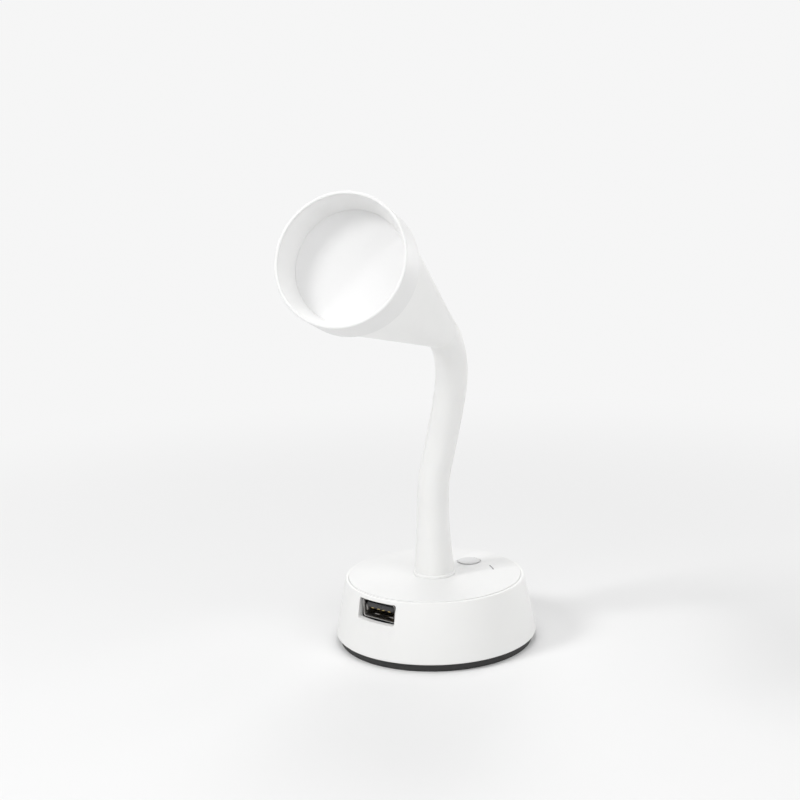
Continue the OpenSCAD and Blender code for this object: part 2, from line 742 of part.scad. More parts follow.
module led_screws()
    color("silver") on_stretch(8) for (a = led_screw_angles) rotate([0, 0, a])
        translate([led_screw_r, 0, sink_z - led_screw_bite]) {
            cylinder(r = 0.8, h = led_screw_bite + sink_t + led_board_t + 0.1);
            translate([0, 0, led_screw_bite + sink_t + led_board_t]) cylinder(r = 1.5, h = 0.5);
        }

foot_pad();
bottom_plate();
plate_screws();
ballast_disc();
base_shell();
screw_bosses();
top_cover();
battery_cell();
control_board();
board_parts();
board_screws();
usb_shell();
usb_tongue();
usb_contacts();
inlet_shell();
inlet_tongue();
switch_body();
switch_plunger();
button_cap();
indicator_window();
foot_fitting();
foot_nut();
neck_collar();
sleeve_foot();
for (k = [1:LINK_COUNT]) core_link(k);
for (k = [1:LINK_COUNT + 1]) sleeve_bend(k);
head_fitting();
head_nut();
head_shell();
front_ring();
reflector();
diffuser();
led_board();
led_chips();
heat_sink();
led_screws();
lamp_lead();
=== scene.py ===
import json
import math

import bmesh
import bpy
from mathutils import Matrix, Vector


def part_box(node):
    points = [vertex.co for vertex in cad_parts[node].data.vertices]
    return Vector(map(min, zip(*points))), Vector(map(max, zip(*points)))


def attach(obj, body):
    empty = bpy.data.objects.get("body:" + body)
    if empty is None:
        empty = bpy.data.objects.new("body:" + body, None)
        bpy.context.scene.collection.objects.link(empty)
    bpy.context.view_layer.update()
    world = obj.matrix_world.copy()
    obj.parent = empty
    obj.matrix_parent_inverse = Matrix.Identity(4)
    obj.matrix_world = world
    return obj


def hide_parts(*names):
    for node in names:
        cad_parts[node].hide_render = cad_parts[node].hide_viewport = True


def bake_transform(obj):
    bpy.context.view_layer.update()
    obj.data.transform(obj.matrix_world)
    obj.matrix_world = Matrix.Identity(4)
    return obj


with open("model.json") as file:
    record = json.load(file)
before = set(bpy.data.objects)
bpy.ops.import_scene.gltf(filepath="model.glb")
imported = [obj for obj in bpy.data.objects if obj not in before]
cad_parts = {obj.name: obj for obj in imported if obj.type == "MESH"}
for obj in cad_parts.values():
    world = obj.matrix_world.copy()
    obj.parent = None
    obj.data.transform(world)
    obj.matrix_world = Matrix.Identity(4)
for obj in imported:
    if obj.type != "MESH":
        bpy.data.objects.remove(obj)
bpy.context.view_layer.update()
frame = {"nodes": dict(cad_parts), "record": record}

MM = 0.001


# ---------------------------------------------------------------------------
# Rubber foot
# A black rubber disc glued under the bottom plate, over its screws. It is cut from sheet, stands
# back from the shell's lower edge, and is cloudy with use.
# ---------------------------------------------------------------------------

def radius_of(node):
    """Radius of a round CAD piece that stands upright in the middle of the base."""
    low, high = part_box(node)
    return (high[0] - low[0]) / 2


def foot_and_top(node):
    """Lowest and highest level of a CAD piece."""
    low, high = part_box(node)
    return low[2], high[2]


def rounded(corners, steps=5):
    """Outline of (radius, height) points, rounded where a corner brings a radius of its own."""
    points = []
    count = len(corners)
    for i, corner in enumerate(corners):
        here = Vector(corner[:2])
        r = corner[2] if len(corner) > 2 else 0
        before = Vector(corners[i - 1][:2]) - here
        after = Vector(corners[(i + 1) % count][:2]) - here
        if r <= 0 or here.x < 1e-7:
            points.append(here)
            continue
        half = before.angle(after) / 2
        reach = min(r / math.tan(half), before.length * 0.49, after.length * 0.49)
        start = here + before.normalized() * reach
        end = here + after.normalized() * reach
        for k in range(steps + 1):
            t = k / steps
            points.append(start * (1 - t) ** 2 + here * 2 * t * (1 - t) + end * t ** 2)
    return points


def made(name, shape):
    """The piece whose mesh has been built up."""
    mesh = bpy.data.meshes.new(name)
    shape.to_mesh(mesh)
    shape.free()
    piece = bpy.data.objects.new(name, mesh)
    bpy.context.collection.objects.link(piece)
    return piece


def turned(name, outline, place=None, sides=256):
    """A piece turned on a lathe: a closed outline of (radius, height) points swept round +Z."""
    shape = bmesh.new()
    rings = []
    for point in outline:
        r, z = point[0], point[1]
        if r < 1e-7:
            rings.append([shape.verts.new((0, 0, z))])
        else:
            rings.append([
                shape.verts.new((r * math.cos(a), r * math.sin(a), z))
                for a in (2 * math.pi * k / sides for k in range(sides))
            ])
    for i, ring in enumerate(rings):
        above = rings[(i + 1) % len(rings)]
        if len(ring) == 1 and len(above) == 1:
            continue
        for k in range(sides):
            n = (k + 1) % sides
            if len(ring) == 1:
                shape.faces.new((ring[0], above[n], above[k]))
            elif len(above) == 1:
                shape.faces.new((ring[k], ring[n], above[0]))
            else:
                shape.faces.new((ring[k], ring[n], above[n], above[k]))
    bmesh.ops.recalc_face_normals(shape, faces=shape.faces)
    piece = made(name, shape)
    if place is not None:
        piece.data.transform(place)
    smooth(piece)
    return piece


def smooth(piece, angle=35):
    """Smooth shading, with the edges sharper than the angle kept crisp."""
    for face in piece.data.polygons:
        face.use_smooth = True
    piece.data.set_sharp_from_angle(angle=math.radians(angle))


def finish(name, colour, roughness, metallic=0.0):
    """A new finish with its shader, at one colour and roughness."""
    material = bpy.data.materials.new(name)
    material.use_nodes = True
    material.diffuse_color = (*colour, 1)
    shader = material.node_tree.nodes["Principled BSDF"]
    shader.inputs["Base Color"].default_value = (*colour, 1)
    shader.inputs["Roughness"].default_value = roughness
    shader.inputs["Metallic"].default_value = metallic
    return material, shader


def place_on(material, stretch):
    """Coordinates in metres on the piece itself, so that a grain keeps its size."""
    nodes, links = material.node_tree.nodes, material.node_tree.links
    where = nodes.new("ShaderNodeTexCoord")
    mapping = nodes.new("ShaderNodeMapping")
    mapping.inputs["Scale"].default_value = stretch
    links.new(where.outputs["Object"], mapping.inputs["Vector"])
    return mapping.outputs["Vector"]


def mottle(material, size, detail=4.0, stretch=(1, 1, 1)):
    """Soft noise whose patches are about that many metres across, from 0 to 1."""
    nodes, links = material.node_tree.nodes, material.node_tree.links
    noise = nodes.new("ShaderNodeTexNoise")
    noise.inputs["Scale"].default_value = 1 / size
    noise.inputs["Detail"].default_value = detail
    noise.inputs["Roughness"].default_value = 0.55
    links.new(place_on(material, stretch), noise.inputs["Vector"])
    return noise.outputs["Fac"]


def between(material, share, low, high, out_low, out_high):
    """A value that goes from out_low to out_high as share goes from low to high."""
    nodes, links = material.node_tree.nodes, material.node_tree.links
    ramp = nodes.new("ShaderNodeMapRange")
    ramp.inputs["From Min"].default_value = low
    ramp.inputs["From Max"].default_value = high
    ramp.inputs["To Min"].default_value = out_low
    ramp.inputs["To Max"].default_value = out_high
    links.new(share, ramp.inputs["Value"])
    return ramp.outputs["Result"]


def two_tones(material, share, first, second):
    """A colour that goes from the first to the second as share goes from 0 to 1."""
    nodes, links = material.node_tree.nodes, material.node_tree.links
    mix = nodes.new("ShaderNodeMix")
    mix.data_type = "RGBA"
    mix.inputs["A"].default_value = (*first, 1)
    mix.inputs["B"].default_value = (*second, 1)
    links.new(share, mix.inputs["Factor"])
    return mix.outputs["Result"]


def set_by(shader, setting, value):
    """Lets a value that varies over the piece set one of its finish's inputs."""
    shader.id_data.links.new(value, shader.inputs[setting])


def scatter(shader, weight, colours, depth):
    """Lets a share of the light spread under the surface, by colour, to about that many metres."""
    shader.inputs["Subsurface Weight"].default_value = weight
    shader.inputs["Subsurface Radius"].default_value = colours
    shader.inputs["Subsurface Scale"].default_value = depth


def raised(material, shader, height, depth):
    """Relief of that many metres from a height between 0 and 1."""
    nodes, links = material.node_tree.nodes, material.node_tree.links
    bump = nodes.new("ShaderNodeBump")
    bump.inputs["Strength"].default_value = 1.0
    bump.inputs["Distance"].default_value = depth
    links.new(height, bump.inputs["Height"])
    set_by(shader, "Normal", bump.outputs["Normal"])


def wear(piece, material):
    """Puts a finish on a piece."""
    piece.data.materials.clear()
    piece.data.materials.append(material)


foot_radius = radius_of("foot_pad")
foot_low, foot_top = foot_and_top("foot_pad")

rubber, rubber_shader = finish("foot_rubber", (0.018, 0.018, 0.019), 0.62)
rubber_cloud = mottle(rubber, 6 * MM)
rubber_tones = two_tones(rubber, rubber_cloud, (0.012, 0.012, 0.013), (0.034, 0.034, 0.033))
set_by(rubber_shader, "Base Color", rubber_tones)
set_by(rubber_shader, "Roughness", between(rubber, rubber_cloud, 0.35, 0.65, 0.55, 0.75))
raised(rubber, rubber_shader, mottle(rubber, 0.35 * MM, 2.0), 0.04 * MM)

foot = turned("foot_disc", rounded([
    (0, foot_low),
    (foot_radius, foot_low, 0.35 * MM),
    (foot_radius, foot_top, 0.15 * MM),
    (0, foot_top),
]))
wear(foot, rubber)
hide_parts("foot_pad")
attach(foot, "base")


# ---------------------------------------------------------------------------
# Bottom plate, its screws and the ballast
# A black moulded plate closes the base from below. Four small screws hold it to bosses in the
# shell, and a plain turned steel disc is glued on it so that the lamp doesn't tip when its head
# leans out.
# ---------------------------------------------------------------------------

def redress(node, material):
    """A CAD piece whose shape is right keeps it, and gets its real finish."""
    wear(frame["nodes"][node], material)


black_plate, black_plate_shader = finish("plate_plastic", (0.03, 0.03, 0.03), 0.5)
raised(black_plate, black_plate_shader, mottle(black_plate, 0.3 * MM, 2.0), 0.02 * MM)
redress("bottom_plate", black_plate)


def metal(name, colour, roughness, drawn=(1, 1, 1)):
    """Metal with fine working marks, drawn out along one way."""
    material, shader = finish(name, colour, roughness, 1.0)
    marks = mottle(material, 0.25 * MM, 3.0, drawn)
    gloss = between(material, marks, 0.3, 0.7, roughness * 0.75, roughness * 1.3)
    set_by(shader, "Roughness", gloss)
    raised(material, shader, marks, 0.004 * MM)
    return material


screw_steel = metal("screw_steel", (0.6, 0.6, 0.6), 0.3)
ballast_steel = metal("ballast_steel", (0.36, 0.36, 0.37), 0.45, drawn=(1, 1, 8))
redress("plate_screws", screw_steel)
redress("ballast_disc", ballast_steel)


# ---------------------------------------------------------------------------
# Battery, board and switch
# The flat battery cell lies on the ballast, and the round control board over it hangs from two
# bosses of the top cover. The board carries the socket, the charging inlet, the switch and a few
# small parts.
# ---------------------------------------------------------------------------

cell_foil, cell_shader = finish("cell_foil", (0.42, 0.5, 0.58), 0.35, 0.4)
raised(cell_foil, cell_shader, mottle(cell_foil, 4 * MM, 3.0), 0.1 * MM)
redress("battery_cell", cell_foil)

green_board, green_shader = finish("board_resist", (0.02, 0.16, 0.06), 0.35)
resist_cloud = mottle(green_board, 1.5 * MM, 1.0)
resist_tones = two_tones(green_board, resist_cloud, (0.015, 0.12, 0.045), (0.03, 0.2, 0.08))
set_by(green_shader, "Base Color", resist_tones)
redress("control_board", green_board)
redress("board_screws", screw_steel)

black_part, black_part_shader = finish("part_plastic", (0.035, 0.035, 0.037), 0.45)
raised(black_part, black_part_shader, mottle(black_part, 0.2 * MM, 2.0), 0.01 * MM)
for node in ("board_parts", "switch_body", "switch_plunger", "inlet_tongue"):
    redress(node, black_part)


# ---------------------------------------------------------------------------
# USB-A socket and charging inlet
# The socket's shell is folded from nickel-plated steel sheet, with its mouth's edge flared a
# little and spring tabs pressed out of its walls. A black moulded tongue with four contacts hangs
# in its upper half.
# ---------------------------------------------------------------------------

def rounded_frame(width, height, radius, steps=6):
    """Outline of (across, up) points about its middle, with its four corners rounded."""
    points = []
    for quarter, (side, level) in enumerate(((1, 1), (-1, 1), (-1, -1), (1, -1))):
        for k in range(steps + 1):
            a = math.radians(90 * (quarter + k / steps))
            points.append((side * (width / 2 - radius) + radius * math.cos(a),
                           level * (height / 2 - radius) + radius * math.sin(a)))
    return points


def lofted(name, rings):
    """A closed piece through rings of equally many points, flat at its two ends."""
    shape = bmesh.new()
    rows = [[shape.verts.new(point) for point in ring] for ring in rings]
    for first, second in zip(rows, rows[1:]):
        for i in range(len(first)):
            n = (i + 1) % len(first)
            shape.faces.new((first[i], first[n], second[n], second[i]))
    shape.faces.new(rows[0])
    shape.faces.new(rows[-1])
    bmesh.ops.recalc_face_normals(shape, faces=shape.faces)
    piece = made(name, shape)
    smooth(piece)
    return piece


socket_low, socket_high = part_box("usb_shell")
socket_front, socket_back = socket_low[1], socket_high[1]
socket_middle = (Vector(socket_low) + Vector(socket_high)) / 2
socket_width = socket_high[0] - socket_low[0]
socket_height = socket_high[2] - socket_low[2]
sheet = 0.3 * MM


def socket_ring(y, grow, width=socket_width, height=socket_height,
                corner=0.7 * MM, up=socket_middle.z):
    """Ring of the socket's section at a distance back, grown or shrunk all round."""
    return [(socket_middle.x + a, y, up + b)
            for a, b in rounded_frame(width + 2 * grow, height + 2 * grow, corner + grow)]


# Millimetres back from the mouth and outward: outside to the flared mouth, then inside to the back
sheet_profile = (
    (14, 0), (1.4, 0), (0.9, 0.02), (0.55, 0.1), (0.5, 0.06),
    (0.53, -0.06), (0.9, -0.24), (1.4, -0.3), (13.7, -0.3),
)
nickel = metal("socket_nickel", (0.5, 0.49, 0.48), 0.28, drawn=(1, 6, 1))
socket = lofted("socket_sheet", [
    socket_ring(socket_front + back * MM, grow * MM) for back, grow in sheet_profile
])
wear(socket, nickel)
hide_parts("usb_shell")
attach(socket, "base")
redress("inlet_shell", nickel)


def spring(name, place, width, length, inward, out):
    """A tab pressed out of the socket's sheet: it bows inward from the wall at its two ends."""
    inward, out = Vector(inward), Vector(out)
    bow, half_thick, steps = 0.45 * MM, 0.12 * MM, 16
    half = out * width / 2
    thick = inward * half_thick
    rings = []
    for k in range(steps + 1):
        t = k / steps
        middle = place + Vector((0, length * t, 0)) + inward * bow * math.sin(math.pi * t) ** 0.8
        rings.append([middle + half - thick, middle + half + thick,
                      middle - half + thick, middle - half - thick])
    piece = lofted(name, rings)
    wear(piece, nickel)
    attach(piece, "base")


inner_x, inner_z = socket_width / 2 - sheet, socket_height / 2 - sheet
side_start = socket_front + 1.6 * MM - socket_middle.y
level_start = socket_front + 3.2 * MM - socket_middle.y
for side, hand in ((-1, "left"), (1, "right")):
    place = socket_middle + Vector((side * inner_x, side_start, -0.2 * MM))
    spring(f"spring_{hand}", place, 2.2 * MM, 3.6 * MM, (-side, 0, 0), (0, 0, 1))
    for level, end in ((-1, "low"), (1, "high")):
        place = socket_middle + Vector((side * 3.1 * MM, level_start, level * inner_z))
        spring(f"spring_{end}_{hand}", place, 1.9 * MM, 5 * MM, (0, 0, -level), (1, 0, 0))

# The tongue hangs in the upper half, from the block at the back
tongue_width, tongue_thick = 11.1 * MM, 1.84 * MM
tongue_top = socket_high[2] - sheet - 0.6 * MM
tongue_middle = tongue_top - tongue_thick / 2
tongue_black, tongue_shader = finish("tongue_plastic", (0.03, 0.03, 0.032), 0.3)
raised(tongue_black, tongue_shader, mottle(tongue_black, 0.2 * MM, 2.0), 0.006 * MM)
tongue_scuff = mottle(tongue_black, 1.2 * MM)
set_by(tongue_shader, "Roughness", between(tongue_black, tongue_scuff, 0.3, 0.7, 0.24, 0.4))
tongue_corner, block_gap = 0.5 * MM, 0.05 * MM
tongue_profile = (1.1, -0.3), (1.15, -0.17), (1.27, -0.06), (1.45, 0), (10, 0)
tongue = lofted("socket_tongue", [
    socket_ring(socket_front + back * MM, grow * MM, tongue_width, tongue_thick,
                tongue_corner, tongue_middle)
    for back, grow in tongue_profile
] + [socket_ring(socket_front + back * MM, -sheet - block_gap) for back in (10, 12)])
wear(tongue, tongue_black)
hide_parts("usb_tongue")
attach(tongue, "base")

redress("usb_contacts", metal("contact_gold", (0.8, 0.6, 0.25), 0.2))


# ---------------------------------------------------------------------------
# Base shell
# One white moulding, wider at its foot, with a small round on each edge, a rebate for the top
# cover and a window with softened edges in front of the socket. Its surface is finely
# spark-textured, with a satin gloss.
# ---------------------------------------------------------------------------

def white_moulding(name, colour, gloss=0.36):
    """White moulded ABS: a fine even texture, and a gloss that varies a little with handling."""
    material, shader = finish(name, colour, gloss)
    cloud = mottle(material, 14 * MM, 3.0)
    darker = tuple(c * 0.985 for c in colour)
    set_by(shader, "Base Color", two_tones(material, cloud, colour, darker))
    scuff = mottle(material, 2.2 * MM, 6.0, (1, 1, 0.25))
    set_by(shader, "Roughness", between(material, scuff, 0.3, 0.7, gloss * 0.88, gloss * 1.15))
    scatter(shader, 0.06, (1, 1, 0.9), 0.6 * MM)
    raised(material, shader, mottle(material, 0.22 * MM, 2.0), 0.006 * MM)
    return material


def cut_away(piece, cutter):
    """Takes the cutter's shape out of a piece."""
    bpy.context.view_layer.update()
    cut = piece.modifiers.new("cut", "BOOLEAN")
    cut.operation = "DIFFERENCE"
    cut.solver = "EXACT"
    cut.object = cutter
    apply_all(piece)
    bpy.data.objects.remove(cutter)


def apply_all(piece):
    """Makes a piece's modifiers part of its mesh."""
    graph = bpy.context.evaluated_depsgraph_get()
    finished = bpy.data.meshes.new_from_object(piece.evaluated_get(graph))
    old = piece.data
    piece.modifiers.clear()
    piece.data = finished
    bpy.data.meshes.remove(old)


def soften(piece, width, segments=2):
    """A small round along the sharp edges."""
    sharp = 40
    round_edge = piece.modifiers.new("round", "BEVEL")
    round_edge.width = width
    round_edge.segments = segments
    round_edge.limit_method = "ANGLE"
    round_edge.angle_limit = math.radians(sharp)
    apply_all(piece)
    smooth(piece, sharp)


shell_low, shell_top = foot_and_top("base_shell")
shell_foot_radius = radius_of("base_shell")
cover_radius = radius_of("top_cover")
cover_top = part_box("top_cover")[1][2]
cover_thick = 1.6 * MM
cover_low = cover_top - cover_thick
seam = 0.05 * MM
rim_width = 0.91 * MM
shell_top_radius = cover_radius + seam + rim_width
shell_wall = 2.0 * MM
ledge_width, ledge_thick = 2.4 * MM, 1.2 * MM
ledge_low = cover_low - ledge_thick
ledge_radius = cover_radius + seam - ledge_width


def shell_radius(z):
    """Outer radius of the shell at a height."""
    spread, rise = shell_top_radius - shell_foot_radius, z - shell_low
    return shell_foot_radius + spread * rise / (shell_top - shell_low)


shell_white = white_moulding("shell_white", (0.82, 0.82, 0.81))
shell = turned("base_housing", rounded([
    (shell_foot_radius - shell_wall, shell_low),
    (shell_foot_radius, shell_low, 0.5 * MM),
    (shell_top_radius, shell_top, 0.45 * MM),
    (cover_radius + seam, shell_top, 0.12 * MM),
    (cover_radius + seam, cover_low),
    (ledge_radius, cover_low),
    (ledge_radius, ledge_low),
    (shell_radius(ledge_low - ledge_width) - shell_wall, ledge_low - ledge_width),
], 6), sides=320)

# Window of the socket, and the slot of the charging inlet on the left
window_side, window_gap = 1.1 * MM, 0.5 * MM
outside_shell = -shell_foot_radius - 5 * MM
window = [(a, socket_middle.z + b) for a, b in rounded_frame(
    socket_width + 2 * window_side, socket_height + 2 * window_gap, 0.8 * MM)]
window_rings = [[(a, y, b) for a, b in window] for y in (outside_shell, socket_back)]
cut_away(shell, lofted("window", window_rings))
inlet_low, inlet_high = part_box("inlet_shell")
slot_width = inlet_high[1] - inlet_low[1] + 2 * window_gap
slot_height = inlet_high[2] - inlet_low[2] + 2 * window_gap
slot_level = (inlet_low[2] + inlet_high[2]) / 2
slot_corner = slot_height / 2 * 0.99
slot = [(a, slot_level + b) for a, b in rounded_frame(slot_width, slot_height, slot_corner, 12)]
slot_rings = [[(x, a, b) for a, b in slot] for x in (outside_shell, inlet_high[0])]
cut_away(shell, lofted("inlet_slot", slot_rings))
soften(shell, 0.22 * MM, segments=3)
wear(shell, shell_white)
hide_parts("base_shell")
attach(shell, "base")
redress("screw_bosses", shell_white)


# ---------------------------------------------------------------------------
# Top cover
# A flat white disc let into the shell, a little proud of its rim, with a fine seam round it. It
# is moulded with a hole for the push button and a curved indicator slit; the collar hides where
# the neck goes through.
# ---------------------------------------------------------------------------

button_low, button_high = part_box("button_cap")
button_x, button_y = ((button_low[i] + button_high[i]) / 2 for i in (0, 1))
button_centre = Vector((button_x, button_y, 0))
button_flange = 0.8 * MM
button_radius = (button_high[0] - button_low[0]) / 2 - button_flange
button_gap = 0.06 * MM

cover_white = white_moulding("cover_white", (0.78, 0.78, 0.775), 0.46)


def rod(name, centre, radius, low, high):
    """An upright round cutter."""
    piece = turned(name, [(0, low), (radius, low), (radius, high), (0, high)], sides=96)
    piece.data.transform(Matrix.Translation(centre))
    return piece


def arc_block(name, radius, width, start, end, low, high):
    """A curved bar round +Z, between two angles."""
    steps = 24
    near, far = radius - width / 2, radius + width / 2
    rings = []
    for k in range(steps + 1):
        a = math.radians(start + (end - start) * k / steps)
        rings.append([(r * math.cos(a), r * math.sin(a), z)
                      for r, z in ((near, low), (far, low), (far, high), (near, high))])
    return lofted(name, rings)


slit_radius = 20.1 * MM
slit_width = 0.5 * MM
slit_start, slit_end = 45, 59
below_cover, above_cover = cover_low - MM, cover_top + MM

cover = turned("cover_disc", rounded([
    (0, cover_low),
    (cover_radius, cover_low),
    (cover_radius, cover_top, 0.25 * MM),
    (0, cover_top),
], 6), sides=320)
button_hole = rod("button_hole", button_centre, button_radius + button_gap,
                  below_cover, above_cover)
cut_away(cover, button_hole)
slit_hole = arc_block("slit_hole", slit_radius, slit_width, slit_start, slit_end,
                      below_cover, above_cover)
cut_away(cover, slit_hole)
soften(cover, 0.1 * MM)
wear(cover, cover_white)
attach(cover, "base")
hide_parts("top_cover")


# ---------------------------------------------------------------------------
# Push button and indicator
# The cap is moulded in a slightly greyer plastic, with a shallow dish for the fingertip and a
# rounded edge. Beside it a smoked strip in the curved slit lets a small light through.
# ---------------------------------------------------------------------------

button_grey = white_moulding("button_grey", (0.61, 0.61, 0.61), 0.3)
dish_depth = 0.25 * MM
LIP_SHARE, DISH_SHARE = 0.9, 0.86
DISH_RINGS = 10
dish = [(button_radius * (DISH_SHARE - DISH_SHARE * k / DISH_RINGS),
         button_high[2] - dish_depth * (1 - (1 - k / DISH_RINGS) ** 2))
        for k in range(DISH_RINGS + 1)]
cap = turned("button_top", rounded([
    (0, button_low[2]), (button_radius, button_low[2]), (button_radius, button_high[2], 0.45 * MM),
], 8)[:-1] + [(button_radius * LIP_SHARE, button_high[2])] + dish, sides=128)
cap.data.transform(Matrix.Translation(button_centre))
wear(cap, button_grey)
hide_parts("button_cap")
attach(cap, "button")

smoked, smoked_shader = finish("smoked_strip", (0.2, 0.2, 0.205), 0.25)
raised(smoked, smoked_shader, mottle(smoked, 1 * MM, 2.0), 0.005 * MM)
redress("indicator_window", smoked)


# ---------------------------------------------------------------------------
# Neck fittings and core
# A threaded steel foot goes through the cover and is held by a nut. From there the core is a row
# of plated steel links, each with a ball in the next one's socket, and a last fitting screwed
# into the head.
# ---------------------------------------------------------------------------

link_steel = metal("link_steel", (0.55, 0.55, 0.55), 0.28)
LINKS = 7
fittings = ["foot_fitting", "foot_nut", "head_fitting", "head_nut"]
for node in fittings + [f"core_{k + 1}" for k in range(LINKS)]:
    redress(node, link_steel)


# ---------------------------------------------------------------------------
# Neck collar
# A thin white moulded ring at the neck's foot, with a rounded edge. It hides where the neck goes
# through the cover.
# ---------------------------------------------------------------------------

collar_low, collar_top = foot_and_top("neck_collar")
collar_radius = radius_of("neck_collar")
collar_bore = 5.05 * MM
ring_white = white_moulding("ring_white", (0.84, 0.84, 0.83))
collar = turned("collar_ring", rounded([
    (collar_bore, collar_low),
    (collar_radius, collar_low, 0.1 * MM),
    (collar_radius, collar_top, 0.4 * MM),
    (collar_bore, collar_top),
]), sides=160)
wear(collar, ring_white)
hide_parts("neck_collar")
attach(collar, "base")


# ---------------------------------------------------------------------------
# Neck sleeve
# One soft silicone tube, drawn over the core from the collar to the head. It is flared at its
# foot, smooth and white with a dull sheen. It is built in lengths, each bent round one ball of
# the core.
# ---------------------------------------------------------------------------

joints = {j["name"]: j for j in frame["record"]["behaviour"]["joints"]}
JOINTS = LINKS + 1
balls = [Vector(joints[f"neck_{k + 1}"]["pos_m"]) for k in range(JOINTS)]
neck_start = Vector((0, 0, collar_top))


def middle_of(node):
    """Middle of a CAD piece's box."""
    low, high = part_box(node)
    return (Vector(low) + Vector(high)) / 2


head_way = (middle_of("front_ring") - balls[-1]).normalized()
last_reach = (balls[-1] - balls[-2]).length / 2
corners = [neck_start] + balls + [balls[-1] + head_way * 2 * last_reach]
ways = [(b - a).normalized() for a, b in zip(corners, corners[1:])]
pitch = [(b - a).length for a, b in zip(corners, corners[1:])]

# The first three bends meet halfway between their balls; each later one takes what the last left
reach = [pitch[k + 1] / 2 for k in range(3)]
for k in range(3, JOINTS):
    reach.append(pitch[k] - reach[k - 1])


def bend_path(k, steps):
    """Points and directions of the smooth bend round ball k, over its reach on both sides."""
    before, after, ball = ways[k], ways[k + 1], balls[k]
    kink = before.angle(after)
    start = ball - before * reach[k]
    if kink < 1e-4:
        return [(start + before * 2 * reach[k] * i / steps, before) for i in range(steps + 1)]
    turn = before.cross(after).normalized()
    radius = reach[k] / math.tan(kink / 2)
    inward = turn.cross(before).normalized()
    centre = start + inward * radius
    path = []
    for i in range(steps + 1):
        spin = Matrix.Rotation(kink * i / steps, 3, turn)
        path.append((centre + spin @ (start - centre), spin @ before))
    return path


def sweep(name, path, radii, sides):
    """A round bar along a path of points and directions, with a radius at each point."""
    shape = bmesh.new()
    rings = []
    for (point, way), radius in zip(path, radii):
        across = Vector((1, 0, 0)) - way * way.x
        across.normalize()
        up = way.cross(across)
        rings.append([
            shape.verts.new(point + radius * (across * math.cos(a) + up * math.sin(a)))
            for a in (2 * math.pi * i / sides for i in range(sides))
        ])
    for first, second in zip(rings, rings[1:]):
        for i in range(sides):
            n = (i + 1) % sides
            shape.faces.new((first[i], first[n], second[n], second[i]))
    shape.faces.new(list(reversed(rings[0])))
    shape.faces.new(rings[-1])
    piece = made(name, shape)
    smooth(piece, 60)
    return piece


silicone, silicone_shader = finish("sleeve_silicone", (0.82, 0.82, 0.81), 0.5)
silicone_cloud = mottle(silicone, 9 * MM, 3.0)
silicone_tones = two_tones(silicone, silicone_cloud, (0.83, 0.83, 0.82), (0.81, 0.81, 0.8))
set_by(silicone_shader, "Base Color", silicone_tones)
silicone_scuff = mottle(silicone, 1.5 * MM, 5.0)
set_by(silicone_shader, "Roughness", between(silicone, silicone_scuff, 0.3, 0.7, 0.44, 0.56))
scatter(silicone_shader, 0.15, (1, 0.95, 0.85), 1.2 * MM)
silicone_shader.inputs["Sheen Weight"].default_value = 0.1
silicone_shader.inputs["Sheen Roughness"].default_value = 0.4
raised(silicone, silicone_shader, mottle(silicone, 0.3 * MM, 3.0), 0.008 * MM)

SLEEVE_RADIUS = 5.2 * MM
SLEEVE_FOOT_RADIUS = 6.6 * MM
SLEEVE_HEAD_RADIUS = 5.75 * MM
FOOT_FLARE = 12.5 * MM
HEAD_FLARE = 13 * MM
neck_length = sum(pitch[:JOINTS]) + last_reach


def sleeve_radius(along):
    """Outer radius of the sleeve at a length along it: flared at its foot, faintly at the head."""
    foot = math.exp(-((along / FOOT_FLARE) ** 1.5))
    head = max(0.0, 1 - (neck_length - along) / HEAD_FLARE)
    return (SLEEVE_RADIUS + (SLEEVE_FOOT_RADIUS - SLEEVE_RADIUS) * foot
            + (SLEEVE_HEAD_RADIUS - SLEEVE_RADIUS) * head ** 2)


SLEEVE_SIDES = 96
foot_end = pitch[0] - reach[0]
FOOT_RINGS = 24
foot_path = [(neck_start + ways[0] * foot_end * i / FOOT_RINGS, ways[0])
             for i in range(FOOT_RINGS + 1)]
foot_radii = [sleeve_radius(foot_end * i / FOOT_RINGS) for i in range(FOOT_RINGS + 1)]
sleeve_base = sweep("sleeve_base", foot_path, foot_radii, SLEEVE_SIDES)
wear(sleeve_base, silicone)
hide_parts("sleeve_foot")
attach(sleeve_base, "base")


# Each length bends round its ball, over its reach on both sides
BEND_RINGS = 28
along = foot_end
for k in range(JOINTS):
    path = bend_path(k, BEND_RINGS)
    length = 2 * reach[k]
    radii = [sleeve_radius(along + length * i / BEND_RINGS) for i in range(BEND_RINGS + 1)]
    along += length
    length_piece = sweep(f"sleeve_length_{k + 1}", path, radii, SLEEVE_SIDES)
    wear(length_piece, silicone)
    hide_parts(f"sleeve_{k + 1}")
    start, end = path[0][0], path[-1][0]
    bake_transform(length_piece)
